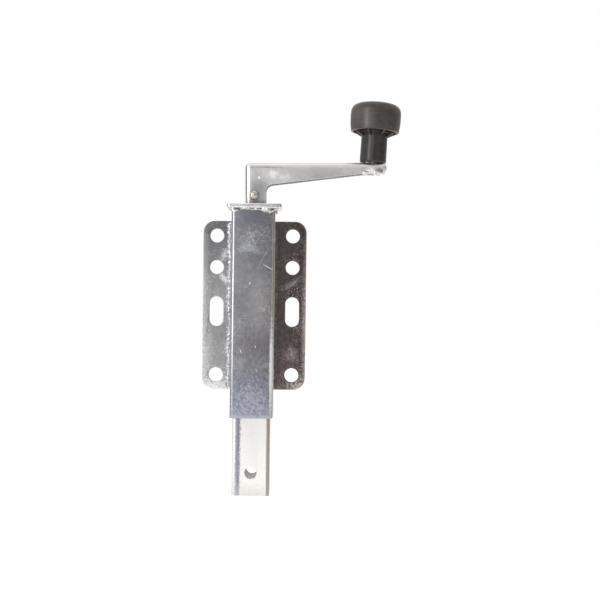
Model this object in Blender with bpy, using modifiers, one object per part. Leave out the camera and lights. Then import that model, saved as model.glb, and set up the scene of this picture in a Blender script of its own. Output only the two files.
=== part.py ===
"""Crank-operated telescopic screw jack on a bolt-on plate.

A square outer tube is welded to a flat mounting plate.  A crank turns a
trapezoidal-thread spindle in the tube, and a nut fixed in the square leg
tube walks down the spindle, so the leg telescopes out of the outer tube.

Frame: the origin is the centre of the mounting plate's back face.  +Z runs up
along the spindle, +Y points from the tube to what the plate is bolted to, and
+X points to the side on which the crank handle is drawn at rest.
"""

import math

import bmesh
import bpy
from mathutils import Matrix, Vector

MM = 0.001
GAP = 0.3 * MM                      # clearance kept between touching pieces

# Driving dimensions
PLATE_WIDTH = 98.0 * MM
PLATE_HEIGHT = 160.0 * MM
PLATE_THICK = 4.0 * MM
PLATE_CORNER = 11.0 * MM
BOLT_HOLE = 13.0 * MM               # clearance hole for an M12 bolt
BOLT_X = 36.0 * MM
BOLT_ROWS = (66.0 * MM, 36.0 * MM, -66.0 * MM)
SLOT_LENGTH = 28.0 * MM
SLOT_Z = -6.0 * MM

TUBE_SIDE = 40.0 * MM
TUBE_CORNER = 3.0 * MM
TUBE_BOTTOM = -103.0 * MM
TUBE_TOP = 88.7 * MM
WALL = 2.0 * MM                     # wall of both square tubes
AXIS_Y = -(PLATE_THICK + GAP + TUBE_SIDE / 2)

CAP_WIDTH = 50.0 * MM
CAP_OFFSET = 0.7 * MM               # the plate is welded on a little off centre
CAP_DEPTH = 48.0 * MM
CAP_THICK = 4.0 * MM
CAP_CORNER = 3.0 * MM

LEG_SIDE = 35.0 * MM
LEG_CORNER = 3.5 * MM
LEG_BOTTOM = -174.0 * MM
LEG_LENGTH = 235.0 * MM
LEG_HOLE = 11.0 * MM
LEG_HOLE_UP = 21.0 * MM             # height of the cross hole above the leg's end

STROKE = 110.0 * MM
SPINDLE_MAJOR = 16.0 * MM           # Tr 16 x 4 thread
JOURNAL = 15.0 * MM
SPIGOT = 12.0 * MM                  # both turned-down ends of the spindle
SPINDLE_TOP = 112.0 * MM

CRANK_RADIUS = 110.0 * MM
CRANK_WIDTH = 16.6 * MM
CRANK_SHEET = 2.0 * MM
CRANK_TOP = 132.0 * MM
CRANK_TILT = math.radians(0.85)     # the arm rises a little towards its end
CRANK_BEND = 3.5 * MM
CRANK_LEG_LEFT = -8.2 * MM
CRANK_LEG_RIGHT = 10.8 * MM
CRANK_END = CRANK_RADIUS + 12.0 * MM
ARM_KNEE = 99.5 * MM                # from here to the end the arm has one depth
ARM_DEPTH_AT_LEG = 20.6 * MM
ARM_DEPTH_AT_END = 10.4 * MM
ARM_FILLET = 6.8 * MM
RIVET_Z = 102.0 * MM
RIVET_SHANK = 5.0 * MM
RIVET_HEAD = 8.6 * MM

KNOB_LEAN = math.radians(3.1)       # the handle stud leans outward a little
KNOB_STEM = 24.6 * MM
KNOB_CAP = 46.8 * MM
KNOB_LOW = 1.2 * MM                 # heights on the stud, above the crank arm
KNOB_RIM = 29.8 * MM
KNOB_TOP = 55.5 * MM
KNOB_RIBS = 8
KNOB_HUB = KNOB_STEM / 2 + 0.1 * MM # inner radius of the cap's hub, pressed on the stem
STEM_TOP = KNOB_RIM + 16.0 * MM
STUD = 8.0 * MM
CLIP_GROOVE = (40.4 * MM, 42.2 * MM)

BEARING_OUTER = 28.0 * MM           # axial ball bearing, 15 x 28 x 9
BEARING_HEIGHT = 9.0 * MM
BEARING_PITCH = 21.5 * MM
BALL = 3.97 * MM
BALLS = 12

NUT_FLANGE = 4.0 * MM
NUT_LENGTH = 20.0 * MM
NUT_PIN = 5.0 * MM
PIN = 4.0 * MM                      # spring pins of the collar and the end stop

# Levels on the spindle axis, worked out from the sizes above
CAP_BOTTOM = TUBE_TOP + GAP
CAP_TOP = CAP_BOTTOM + CAP_THICK
BEARING_TOP = CAP_BOTTOM - GAP
BEARING_BOTTOM = BEARING_TOP - BEARING_HEIGHT
BALL_LEVEL = BEARING_TOP - BEARING_HEIGHT / 2
COLLAR_TOP = BEARING_BOTTOM - GAP
COLLAR_HEIGHT = 10.0 * MM
COLLAR_BOTTOM = COLLAR_TOP - COLLAR_HEIGHT
THREAD_TOP = COLLAR_BOTTOM - GAP
SHOULDER = CAP_TOP + GAP
CRANK_BOTTOM = SHOULDER + 1.3 * MM
LEG_TOP = LEG_BOTTOM + LEG_LENGTH
NUT_TOP = LEG_TOP + GAP + NUT_FLANGE
NUT_BOTTOM = LEG_TOP + GAP - NUT_LENGTH
NUT_PIN_Z = LEG_TOP - 9.0 * MM
THREAD_BOTTOM = NUT_BOTTOM - STROKE - 0.7 * MM
STOP_THICK = 3.0 * MM
SPINDLE_BOTTOM = THREAD_BOTTOM - 10.7 * MM
STOP_PIN_Z = THREAD_BOTTOM - GAP - STOP_THICK - GAP - PIN / 2

STEEL = (0.55, 0.56, 0.57, 1.0)
BRIGHT = (0.72, 0.72, 0.70, 1.0)
BRONZE = (0.55, 0.38, 0.20, 1.0)
BLACK = (0.035, 0.033, 0.033, 1.0)
CHARCOAL = (0.075, 0.070, 0.068, 1.0)


# Scene and objects

def clear_scene():
    for item in list(bpy.data.objects):
        bpy.data.objects.remove(item, do_unlink=True)


def new_collection(name):
    collection = bpy.data.collections.new(name)
    bpy.context.scene.collection.children.link(collection)
    return collection


def new_material(name, colour, roughness, metallic):
    material = bpy.data.materials.new(name)
    material.use_nodes = True
    shader = material.node_tree.nodes["Principled BSDF"]
    shader.inputs["Base Color"].default_value = colour
    shader.inputs["Roughness"].default_value = roughness
    shader.inputs["Metallic"].default_value = metallic
    material.diffuse_color = colour
    return material


def zinc(name):
    return new_material(name, STEEL, 0.35, 1.0)


def bright(name):
    return new_material(name, BRIGHT, 0.25, 1.0)


def new_object(name, mesh, material, parent=None):
    item = bpy.data.objects.new(name, mesh)
    PARTS.objects.link(item)
    if material:
        mesh.materials.clear()
        mesh.materials.append(material)
    item.parent = parent
    return item


def pivot(name, location, rotation=(0.0, 0.0, 0.0), parent=None):
    empty = bpy.data.objects.new(name, None)
    empty.location = location
    empty.rotation_euler = rotation
    empty.parent = parent
    PARTS.objects.link(empty)
    return empty


def as_cutter(item):
    item.hide_render = True
    item.display_type = "WIRE"
    PARTS.objects.unlink(item)
    CUTTERS.objects.link(item)
    return item


def combine(target, tool, operation):
    modifier = target.modifiers.new(operation.title() + " " + tool.name, "BOOLEAN")
    modifier.operation = operation
    modifier.object = as_cutter(tool)


def smooth(item, angle=35.0):
    item.data.shade_smooth()
    item.data.set_sharp_from_angle(angle=math.radians(angle))
    return item


# Outlines: lists of 2-D points in metres

def round_outline(corners, steps=5):
    """Close the outline through (x, y, radius) corners, each rounded by an arc."""
    points = []
    for index, (x, y, radius) in enumerate(corners):
        here = Vector((x, y))
        before = Vector(corners[index - 1][:2])
        after = Vector(corners[(index + 1) % len(corners)][:2])
        if radius <= 0.0:
            points.append(here)
            continue
        to_before = (before - here).normalized()
        to_after = (after - here).normalized()
        half = to_before.angle(to_after) / 2
        centre = here + (to_before + to_after).normalized() * (radius / math.sin(half))
        first = here + to_before * (radius / math.tan(half)) - centre
        last = here + to_after * (radius / math.tan(half)) - centre
        sweep = first.angle_signed(last)
        for step in range(steps + 1):
            turn = Matrix.Rotation(-sweep * step / steps, 2)
            points.append(centre + turn @ first)
    return points


def rectangle(width, height, radius, steps=5):
    x, y = width / 2, height / 2
    return round_outline([(-x, -y, radius), (x, -y, radius), (x, y, radius), (-x, y, radius)], steps)


def moved(points, dx, dy):
    return [Vector((point.x + dx, point.y + dy)) for point in points]


def circle(diameter, sides=24):
    turns = [2 * math.pi * index / sides for index in range(sides)]
    return [Vector((math.cos(turn), math.sin(turn))) * (diameter / 2) for turn in turns]


# Solids

def extruded(name, outlines, thickness, material, parent=None):
    """A flat piece in its own XY plane: the first outline less the others."""
    curve = bpy.data.curves.new(name + "_outline", "CURVE")
    curve.dimensions = "2D"
    curve.fill_mode = "BOTH"
    curve.extrude = thickness / 2
    curve.resolution_u = 1
    curve.render_resolution_u = 0
    for outline in outlines:
        spline = curve.splines.new("POLY")
        spline.points.add(len(outline) - 1)
        spline.use_cyclic_u = True
        for point, place in zip(spline.points, outline):
            point.co = (place.x, place.y, 0.0, 1.0)
    sketch = bpy.data.objects.new(name + "_sketch", curve)
    PARTS.objects.link(sketch)
    bpy.context.view_layer.update()
    graph = bpy.context.evaluated_depsgraph_get()
    mesh = bpy.data.meshes.new_from_object(sketch.evaluated_get(graph))
    bpy.data.objects.remove(sketch, do_unlink=True)
    mesh.name = name
    weld(mesh)
    return new_object(name, mesh, material, parent)


def weld(mesh):
    bm = bmesh.new()
    bm.from_mesh(mesh)
    bmesh.ops.remove_doubles(bm, verts=bm.verts, dist=0.001 * MM)
    bmesh.ops.recalc_face_normals(bm, faces=bm.faces)
    bm.to_mesh(mesh)
    bm.free()


def cylinder(name, diameter, length, material, parent=None, sides=24):
    """A round bar along its own Z, centred on its origin."""
    mesh = bpy.data.meshes.new(name)
    bm = bmesh.new()
    bmesh.ops.create_cone(bm, cap_ends=True, segments=sides, radius1=diameter / 2,
                          radius2=diameter / 2, depth=length)
    bm.to_mesh(mesh)
    bm.free()
    return smooth(new_object(name, mesh, material, parent))


def rounded_block(name, size, radius, material, parent=None, keep_bottom=True):
    """A box with rounded edges; its lower edges stay sharp where keep_bottom is set."""
    mesh = bpy.data.meshes.new(name)
    bm = bmesh.new()
    bmesh.ops.create_cube(bm, size=1.0, matrix=Matrix.Diagonal((*size, 1.0)))
    low = -size[2] / 2
    edges = [edge for edge in bm.edges
             if not (keep_bottom and all(vert.co.z < low * 0.99 for vert in edge.verts))]
    bmesh.ops.bevel(bm, geom=edges, offset=radius, segments=4, profile=0.5, affect="EDGES")
    bm.to_mesh(mesh)
    bm.free()
    return new_object(name, mesh, material, parent)


def turned(name, profile, material, parent=None, sides=32):
    """Revolve a closed (radius, height) profile about the piece's own Z.

    The profile runs down its outer side and up its inner side, or along the
    axis where the piece is solid.
    """
    mesh = bpy.data.meshes.new(name)
    points = [(radius, 0.0, height) for radius, height in profile]
    on_axis = profile[0][0] < 0.01 * MM
    links = [(index, index + 1) for index in range(len(points) - 1)]
    if not on_axis:
        links.append((len(points) - 1, 0))
    mesh.from_pydata(points, links, [])
    item = new_object(name, mesh, material, parent)
    screw = item.modifiers.new("Revolve", "SCREW")
    screw.steps = sides
    screw.render_steps = sides
    screw.use_merge_vertices = True
    screw.merge_threshold = 0.01 * MM
    screw.use_smooth_shade = True
    return item


def arc(centre, radius, start, end, steps=6):
    """Points of an arc in the (radius, height) plane, from start to end in degrees."""
    points = []
    for step in range(steps + 1):
        turn = math.radians(start + (end - start) * step / steps)
        points.append((centre[0] + radius * math.cos(turn), centre[1] + radius * math.sin(turn)))
    return points


def ring(name, outer, inner, bottom, top, material, parent=None, chamfer=0.3 * MM, sides=32):
    """A washer or bush with small outer chamfers."""
    profile = [(outer / 2 - chamfer, top), (outer / 2, top - chamfer), (outer / 2, bottom + chamfer),
               (outer / 2 - chamfer, bottom), (inner / 2, bottom), (inner / 2, top)]
    return turned(name, profile, material, parent, sides)


def drill(target, diameter, length, location, axis="Z", sides=24):
    """Cut a round hole of the given length, centred at location, in target's parent's space."""
    cutter = cylinder("hole_in_" + target.name, diameter, length, None, target.parent, sides)
    cutter.location = location
    if axis == "X":
        cutter.rotation_euler = (0.0, math.pi / 2, 0.0)
    if axis == "Y":
        cutter.rotation_euler = (math.pi / 2, 0.0, 0.0)
    combine(target, cutter, "DIFFERENCE")


# Housing: what is bolted down

def build_mounting_plate():
    slot = rectangle(BOLT_HOLE, SLOT_LENGTH, BOLT_HOLE / 2 - 0.01 * MM, 8)
    outlines = [rectangle(PLATE_WIDTH, PLATE_HEIGHT, PLATE_CORNER, 8)]
    for side in (-1, 1):
        outlines.append(moved(slot, side * BOLT_X, SLOT_Z))
        for level in BOLT_ROWS:
            outlines.append(moved(circle(BOLT_HOLE), side * BOLT_X, level))
    plate = extruded("mounting_plate", outlines, PLATE_THICK, zinc("zinc_plate"))
    plate.rotation_euler = (math.pi / 2, 0.0, 0.0)
    plate.location = (0.0, -PLATE_THICK / 2, 0.0)


def square_tube(name, side, corner, bottom, top, material, parent):
    outlines = [rectangle(side, side, corner), rectangle(side - 2 * WALL, side - 2 * WALL, corner - WALL)]
    item = extruded(name, outlines, top - bottom, material, parent)
    item.location = (0.0, 0.0, (bottom + top) / 2)
    return item


def build_outer_tube(axis):
    square_tube("outer_tube", TUBE_SIDE, TUBE_CORNER, TUBE_BOTTOM, TUBE_TOP, zinc("zinc_outer_tube"), axis)


def build_top_plate(axis):
    bush_outer = 19.0 * MM
    outline = moved(rectangle(CAP_WIDTH, CAP_DEPTH, CAP_CORNER), CAP_OFFSET, 0.0)
    outlines = [outline, circle(bush_outer + 2 * GAP, 32)]
    cap = extruded("top_plate", outlines, CAP_THICK, zinc("zinc_top_plate"), axis)
    cap.location = (0.0, 0.0, (CAP_BOTTOM + CAP_TOP) / 2)
    ring("spindle_bush", bush_outer, JOURNAL + 2 * GAP, CAP_BOTTOM, CAP_TOP,
         new_material("sintered_bronze", BRONZE, 0.4, 1.0), axis)


def build_side_weld(name, side):
    """The fillet bead between the tube's side wall and the plate."""
    leg = 4.6 * MM
    root_x, root_y = TUBE_SIDE / 2 + GAP, -PLATE_THICK - GAP
    face = [(0.0, 0.0), (1.0, 0.0), (0.75, 0.42), (0.42, 0.75), (0.0, 1.0)]
    outline = [Vector((side * (root_x + leg * across), root_y - leg * out)) for across, out in face]
    extruded(name, [outline], PLATE_HEIGHT - 2.0 * MM, bright("weld_metal"))


def build_cap_weld(axis):
    """The fillet bead round the tube under the top plate."""
    depth = 3.2 * MM
    inside = TUBE_SIDE + 2 * GAP
    outlines = [rectangle(inside + 4.4 * MM, inside + 4.4 * MM, TUBE_CORNER + 2.2 * MM),
                rectangle(inside, inside, TUBE_CORNER + GAP)]
    bead = extruded("cap_weld", outlines, depth, bright("cap_weld_metal"), axis)
    bead.location = (0.0, 0.0, CAP_BOTTOM - GAP - depth / 2)


# Spindle: what turns with the crank

def build_spindle(axis):
    thread, journal, end = SPINDLE_MAJOR / 2, JOURNAL / 2, SPIGOT / 2
    edge = 1.0 * MM
    profile = [(0.0, SPINDLE_TOP), (end - edge, SPINDLE_TOP), (end, SPINDLE_TOP - edge),
               (end, SHOULDER), (journal, SHOULDER), (journal, THREAD_TOP), (thread, THREAD_TOP),
               (thread, THREAD_BOTTOM), (end, THREAD_BOTTOM), (end, SPINDLE_BOTTOM + edge),
               (end - edge, SPINDLE_BOTTOM), (0.0, SPINDLE_BOTTOM)]
    spindle = turned("spindle", profile, bright("spindle_steel"), axis)
    drill(spindle, RIVET_SHANK + 2 * GAP, 2 * SPINDLE_MAJOR, (0.0, 0.0, RIVET_Z), "Y")
    drill(spindle, PIN + 2 * GAP, 2 * SPINDLE_MAJOR, (0.0, 0.0, (COLLAR_TOP + COLLAR_BOTTOM) / 2), "X")
    drill(spindle, PIN + 2 * GAP, 2 * SPINDLE_MAJOR, (0.0, 0.0, STOP_PIN_Z), "X")


def spring_pin(name, length, height, axis):
    """A slotted spring pin along X through the spindle axis: a C-shaped section."""
    sides = 12
    opening = math.radians(30.0)
    outer, inner = PIN / 2, PIN / 2 - 0.8 * MM
    turns = [opening + (2 * math.pi - 2 * opening) * step / sides for step in range(sides + 1)]
    outline = [Vector((math.cos(turn), math.sin(turn))) * outer for turn in turns]
    outline += [Vector((math.cos(turn), math.sin(turn))) * inner for turn in reversed(turns)]
    pin = extruded(name, [outline], length, bright(name + "_steel"), axis)
    pin.location = (0.0, 0.0, height)
    pin.rotation_euler = (0.0, math.pi / 2, 0.0)


def build_thrust_collar(axis):
    diameter = 26.0 * MM
    height = (COLLAR_TOP + COLLAR_BOTTOM) / 2
    collar = ring("thrust_collar", diameter, JOURNAL + 2 * GAP, COLLAR_BOTTOM, COLLAR_TOP,
                  bright("collar_steel"), axis, 0.8 * MM)
    drill(collar, PIN + 2 * GAP, 2 * diameter, (0.0, 0.0, height), "X")
    spring_pin("collar_pin", diameter - 2.0 * MM, height, axis)


def build_end_stop(axis):
    top = THREAD_BOTTOM - GAP
    ring("stop_washer", 26.0 * MM, SPIGOT + 2 * GAP, top - STOP_THICK, top, bright("stop_steel"), axis)
    spring_pin("stop_pin", 22.0 * MM, STOP_PIN_Z, axis)


def race_profile(outer, inner, back, face, groove):
    """A bearing race between its flat back and its grooved face; face may be above or below."""
    pitch = BEARING_PITCH / 2
    reach = abs(BALL_LEVEL - face)
    half_angle = math.degrees(math.acos(reach / groove))
    if back > face:
        curve = arc((pitch, BALL_LEVEL), groove, 90 + half_angle, 90 - half_angle)
        return [(outer, back), (outer, face)] + curve[::-1] + [(inner, face), (inner, back)]
    curve = arc((pitch, BALL_LEVEL), groove, 270 - half_angle, 270 + half_angle)
    return [(outer, face), (outer, back), (inner, back), (inner, face)] + curve


def build_bearing_races(housing_axis, spindle_axis):
    groove = BALL / 2 + GAP
    race = 3.4 * MM
    outer = BEARING_OUTER / 2
    turned("bearing_race_upper", race_profile(outer, JOURNAL / 2 + 2 * GAP, BEARING_TOP, BEARING_TOP - race,
                                              groove), bright("race_steel_upper"), housing_axis)
    turned("bearing_race_lower", race_profile(outer, JOURNAL / 2 + GAP, BEARING_BOTTOM,
                                              BEARING_BOTTOM + race, groove),
           bright("race_steel_lower"), spindle_axis)


def build_crank_washer(axis):
    ring("crank_washer", 18.0 * MM, SPIGOT + 2 * GAP, SHOULDER + 0.1 * MM, CRANK_BOTTOM - GAP,
         bright("washer_steel"), axis, 0.1 * MM)


def build_crank_arm(axis):
    """A pressed channel, open below the arm and on the inner side of the leg.

    Its axis empty is on the rivet, so heights here are taken from the rivet.
    """
    top, bottom = CRANK_TOP - RIVET_Z, CRANK_BOTTOM - RIVET_Z
    low = bottom - 40.0 * MM                            # well below the finished leg
    size = (CRANK_END - CRANK_LEG_LEFT, CRANK_WIDTH, top - low)
    centre = ((CRANK_END + CRANK_LEG_LEFT) / 2, 0.0, (top + low) / 2)
    arm = rounded_block("crank_arm", size, CRANK_BEND, zinc("zinc_crank"), axis)
    arm.location = centre

    hollow_size = [extent - 2 * CRANK_SHEET for extent in size]
    hollow = rounded_block("crank_hollow", hollow_size, CRANK_BEND - CRANK_SHEET, None, axis)
    hollow.location = centre
    combine(arm, hollow, "DIFFERENCE")

    beyond = 20.0 * MM
    corners = [(CRANK_LEG_LEFT - beyond, low - beyond, 0.0),
               (CRANK_END + beyond, low - beyond, 0.0),
               (CRANK_END + beyond, top - ARM_DEPTH_AT_END, 0.0),
               (ARM_KNEE, top - ARM_DEPTH_AT_END, 0.0),
               (CRANK_LEG_RIGHT, top - ARM_DEPTH_AT_LEG, ARM_FILLET),
               (CRANK_LEG_RIGHT, bottom, 0.0),
               (CRANK_LEG_LEFT - beyond, bottom, 0.0)]
    below = extruded("space_below_crank", [round_outline(corners, 8)], 2 * CRANK_WIDTH, None, axis)
    below.rotation_euler = (math.pi / 2, 0.0, 0.0)
    combine(arm, below, "DIFFERENCE")

    drill(arm, RIVET_SHANK + 2 * GAP, 2 * CRANK_WIDTH, (0.0, 0.0, 0.0), "Y")
    drill(arm, STUD + 1.0 * MM, 8.0 * MM, (CRANK_RADIUS, 0.0, top))
    smooth(arm)


def build_crank_rivet(axis):
    """A solid rivet through both flanges and the spindle's end, with a head on each side."""
    shank = RIVET_SHANK / 2
    grip = CRANK_WIDTH / 2 + GAP
    dome = 2.4 * MM
    radius = ((RIVET_HEAD / 2) ** 2 + dome ** 2) / (2 * dome)
    edge = math.degrees(math.acos((radius - dome) / radius))
    top = arc((0.0, grip + dome - radius), radius, 90, 90 - edge, 5)
    bottom = [(r, -z) for r, z in reversed(top)]
    profile = top + [(shank, grip), (shank, -grip)] + bottom
    profile[0] = (0.0, grip + dome)
    profile[-1] = (0.0, -grip - dome)
    rivet = turned("crank_rivet", profile, bright("rivet_steel"), axis, 24)
    rivet.rotation_euler = (math.pi / 2, 0.0, 0.0)


# Bearing cage, which turns at half the spindle's speed

def build_ball_cage(axis):
    """A flat ring with a pocket for each ball."""
    inner = JOURNAL + 0.7 * MM
    outlines = [circle(2 * BEARING_PITCH - inner, 36), circle(inner, 36)]
    for index in range(BALLS):
        turn = 2 * math.pi * index / BALLS
        x, y = BEARING_PITCH / 2 * math.cos(turn), BEARING_PITCH / 2 * math.sin(turn)
        outlines.append(moved(circle(BALL + 2 * GAP, 14), x, y))
        build_ball("bearing_ball_{:02d}".format(index + 1), (x, y, BALL_LEVEL), axis)
    cage = extruded("bearing_cage", outlines, 1.0 * MM, new_material("cage_steel", STEEL, 0.4, 1.0), axis)
    cage.location = (0.0, 0.0, BALL_LEVEL)


def build_ball(name, place, axis):
    mesh = bpy.data.meshes.new(name)
    bm = bmesh.new()
    bmesh.ops.create_uvsphere(bm, u_segments=10, v_segments=6, radius=BALL / 2)
    bm.to_mesh(mesh)
    bm.free()
    ball = new_object(name, mesh, bright("ball_steel"), axis)
    ball.location = place
    smooth(ball)


# Leg: what telescopes

def build_inner_tube(slide):
    leg = square_tube("inner_tube", LEG_SIDE, LEG_CORNER, LEG_BOTTOM, LEG_TOP, bright("zinc_leg"), slide)
    drill(leg, LEG_HOLE, 2 * LEG_SIDE, (0.0, 0.0, LEG_BOTTOM + LEG_HOLE_UP), "Y", 32)
    drill(leg, NUT_PIN + 2 * GAP, 2 * LEG_SIDE, (0.0, 0.0, NUT_PIN_Z), "X")


def build_spindle_nut(slide):
    """A flanged nut: its body sits in the leg tube and its flange on the tube's end."""
    bore = SPINDLE_MAJOR + 2 * GAP
    body = LEG_SIDE - 2 * WALL - 2 * GAP
    outlines = [rectangle(LEG_SIDE - 0.6 * MM, LEG_SIDE - 0.6 * MM, LEG_CORNER), circle(bore, 32)]
    nut = extruded("spindle_nut", outlines, NUT_FLANGE, new_material("nut_steel", STEEL, 0.45, 1.0), slide)
    nut.location = (0.0, 0.0, NUT_TOP - NUT_FLANGE / 2)
    lower = extruded("nut_body", [circle(body, 36), circle(bore, 32)], NUT_LENGTH + 1.0 * MM, None, slide)
    lower.location = (0.0, 0.0, NUT_BOTTOM + (NUT_LENGTH + 1.0 * MM) / 2)
    combine(nut, lower, "UNION")
    drill(nut, NUT_PIN + 2 * GAP, 2 * LEG_SIDE, (0.0, 0.0, NUT_PIN_Z), "X")
    inner_end, outer_end = 10.4 * MM, LEG_SIDE / 2 - 0.1 * MM
    for name, side in (("nut_pin_left", -1), ("nut_pin_right", 1)):
        plug = cylinder(name, NUT_PIN, outer_end - inner_end, bright(name + "_steel"), slide)
        plug.location = (side * (inner_end + outer_end) / 2, 0.0, NUT_PIN_Z)
        plug.rotation_euler = (0.0, math.pi / 2, 0.0)


# Handle: a plastic knob that turns freely on a stud

def build_knob_stud(stud_axis):
    """A shouldered stud: its foot is under the arm's web and a ring groove is near its top."""
    foot, shank, groove = 6.0 * MM, STUD / 2, 3.0 * MM
    under, low = -CRANK_SHEET - 0.9 * MM, -9.6 * MM
    low_groove, high_groove = CLIP_GROOVE
    top, edge = high_groove + 1.4 * MM, 0.8 * MM
    profile = [(0.0, top), (shank - edge, top), (shank, top - edge), (shank, high_groove),
               (groove, high_groove), (groove, low_groove), (shank, low_groove), (shank, under),
               (foot, under), (foot, low + edge), (foot - edge, low), (0.0, low)]
    turned("knob_stud", profile, bright("stud_steel"), stud_axis, 24)
    ring("knob_clip", 14.0 * MM, 2 * groove + 2 * GAP, low_groove + 0.4 * MM, high_groove - 0.4 * MM,
         new_material("clip_steel", STEEL, 0.4, 1.0), stud_axis, 0.15 * MM, 24)
    ring("knob_washer", 16.0 * MM, STUD + 2 * GAP, KNOB_LOW - 0.5 * MM, KNOB_LOW + 0.7 * MM,
         bright("knob_washer_steel"), stud_axis, 0.2 * MM, 24)


def build_knob_stem(knob):
    """The handle's hard sleeve, with a pocket for the washer and one for the clip."""
    low, ceiling, floor = KNOB_LOW, KNOB_LOW + 1.0 * MM, CLIP_GROOVE[0] - 0.4 * MM
    outer, inner = KNOB_STEM / 2, KNOB_STEM / 2 - 0.3 * MM
    edge, chamfer = 1.4 * MM, 0.5 * MM
    bore, washer, clip = STUD / 2 + GAP, 8.5 * MM, 8.2 * MM
    profile = [(inner - chamfer, STEM_TOP), (inner, STEM_TOP - chamfer)]
    profile += arc((outer - edge, low + edge), edge, 0, -90, 4)
    profile += [(washer, low), (washer, ceiling), (bore, ceiling), (bore, floor), (clip, floor),
                (clip, STEM_TOP)]
    turned("knob_stem", profile, new_material("gloss_plastic", BLACK, 0.35, 0.0), knob)


def cap_profile():
    """Down the barrel-shaped outside, up the inside and down round the hub."""
    widest, height = KNOB_CAP / 2, KNOB_RIM + 11.1 * MM
    rim = widest - 0.8 * MM
    shoulder = 7.5 * MM
    crown = 1.4 * MM
    wall = 2.2 * MM
    side_top = KNOB_TOP - crown - shoulder
    hub_out, hub_end, hub_roof = KNOB_HUB + 1.6 * MM, KNOB_RIM - 1.0 * MM, STEM_TOP + GAP
    roof = KNOB_TOP - 4.0 * MM
    points = [(0.0, KNOB_TOP), (widest * 0.35, KNOB_TOP - 0.25 * crown)]
    points += arc((widest - 0.3 * MM - shoulder, side_top), shoulder, 78, 4, 6)
    points += [(widest, height), (widest - 0.15 * MM, KNOB_RIM + 5.5 * MM)]
    points += [(rim, KNOB_RIM + 0.6 * MM), (rim - 0.6 * MM, KNOB_RIM)]
    points += [(rim - wall, KNOB_RIM), (widest - wall - 0.4 * MM, height)]
    points += arc((widest - wall - 4.0 * MM, roof - 4.0 * MM), 4.0 * MM, 10, 80, 3)
    points += [(hub_out, roof), (hub_out, hub_end), (KNOB_HUB, hub_end), (KNOB_HUB, hub_roof),
               (0.0, hub_roof)]
    return points


def build_knob_cap(knob):
    """The mushroom-shaped grip: a shell with a hub and radial ribs between them."""
    cap = turned("knob_cap", cap_profile(), new_material("matt_plastic", CHARCOAL, 0.6, 0.0), knob, 40)
    thick = 1.4 * MM
    inner, in_hub = KNOB_HUB, KNOB_HUB + 0.5 * MM
    outer = KNOB_CAP / 2 - 1.9 * MM
    top = KNOB_TOP - 3.0 * MM
    corners = [(inner, KNOB_RIM - 5.5 * MM, 0.0), (outer, KNOB_RIM + 0.4 * MM, 0.0),
               (outer, top - 6.0 * MM, 0.0), (outer - 5.0 * MM, top, 0.0), (in_hub, top, 0.0),
               (in_hub, KNOB_RIM, 0.0), (inner, KNOB_RIM - 0.5 * MM, 0.0)]
    outline = round_outline(corners)
    for index in range(KNOB_RIBS):
        rib = extruded("knob_rib_{}".format(index + 1), [outline], thick, None, knob)
        rib.rotation_euler = (math.pi / 2, 0.0, 2 * math.pi * (index + 0.5) / KNOB_RIBS)
        combine(cap, rib, "UNION")


clear_scene()
PARTS = new_collection("telescopic_screw_jack")
CUTTERS = new_collection("cutters")

spindle_line = (0.0, AXIS_Y, 0.0)
housing = pivot("housing_axis", spindle_line)
turning = pivot("spindle_axis", spindle_line)
cage_axis = pivot("cage_axis", spindle_line)
leg_slide = pivot("leg_slide", spindle_line)
crank_axis = pivot("crank_axis", (0.0, 0.0, RIVET_Z), (0.0, -CRANK_TILT, 0.0), turning)
handle = pivot("handle_axis", (CRANK_RADIUS, 0.0, CRANK_TOP - RIVET_Z),
               (0.0, KNOB_LEAN + CRANK_TILT, 0.0), crank_axis)

build_mounting_plate()
build_outer_tube(housing)
build_top_plate(housing)
build_side_weld("side_weld_left", -1)
build_side_weld("side_weld_right", 1)
build_cap_weld(housing)
build_spindle(turning)
build_thrust_collar(turning)
build_end_stop(turning)
build_bearing_races(housing, turning)
build_ball_cage(cage_axis)
build_crank_washer(turning)
build_crank_arm(crank_axis)
build_crank_rivet(crank_axis)
build_inner_tube(leg_slide)
build_spindle_nut(leg_slide)
build_knob_stud(handle)
build_knob_stem(handle)
build_knob_cap(handle)
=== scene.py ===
"""Looks of the telescopic screw jack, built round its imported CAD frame.

Lengths are in metres, in the frame of the CAD: +Z up along the spindle, the
mounting face towards +Y, and the crank's handle towards +X.
"""

import math
from math import cos, pi, radians, sin

import bmesh
import bpy
from mathutils import Matrix, Vector, noise


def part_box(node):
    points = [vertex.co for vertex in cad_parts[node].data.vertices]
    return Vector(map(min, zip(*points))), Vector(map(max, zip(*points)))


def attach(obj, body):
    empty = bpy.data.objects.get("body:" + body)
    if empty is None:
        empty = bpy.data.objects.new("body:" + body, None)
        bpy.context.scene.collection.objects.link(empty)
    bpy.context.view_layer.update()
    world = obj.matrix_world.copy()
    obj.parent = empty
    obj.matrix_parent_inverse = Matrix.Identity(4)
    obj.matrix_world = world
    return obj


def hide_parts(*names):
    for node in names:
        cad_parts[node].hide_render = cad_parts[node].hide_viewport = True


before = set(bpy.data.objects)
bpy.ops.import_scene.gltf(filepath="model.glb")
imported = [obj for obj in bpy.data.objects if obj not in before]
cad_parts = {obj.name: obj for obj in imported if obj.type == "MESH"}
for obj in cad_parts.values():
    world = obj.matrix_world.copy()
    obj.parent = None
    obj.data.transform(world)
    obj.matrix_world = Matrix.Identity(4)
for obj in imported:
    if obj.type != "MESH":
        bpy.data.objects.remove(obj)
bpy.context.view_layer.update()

MM = 0.001
tube_low, tube_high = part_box("outer_tube")
plate_low, plate_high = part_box("mounting_plate")
cap_low, cap_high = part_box("top_plate")
leg_low, leg_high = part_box("inner_tube")
arm_low, arm_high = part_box("crank_arm")
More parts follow.
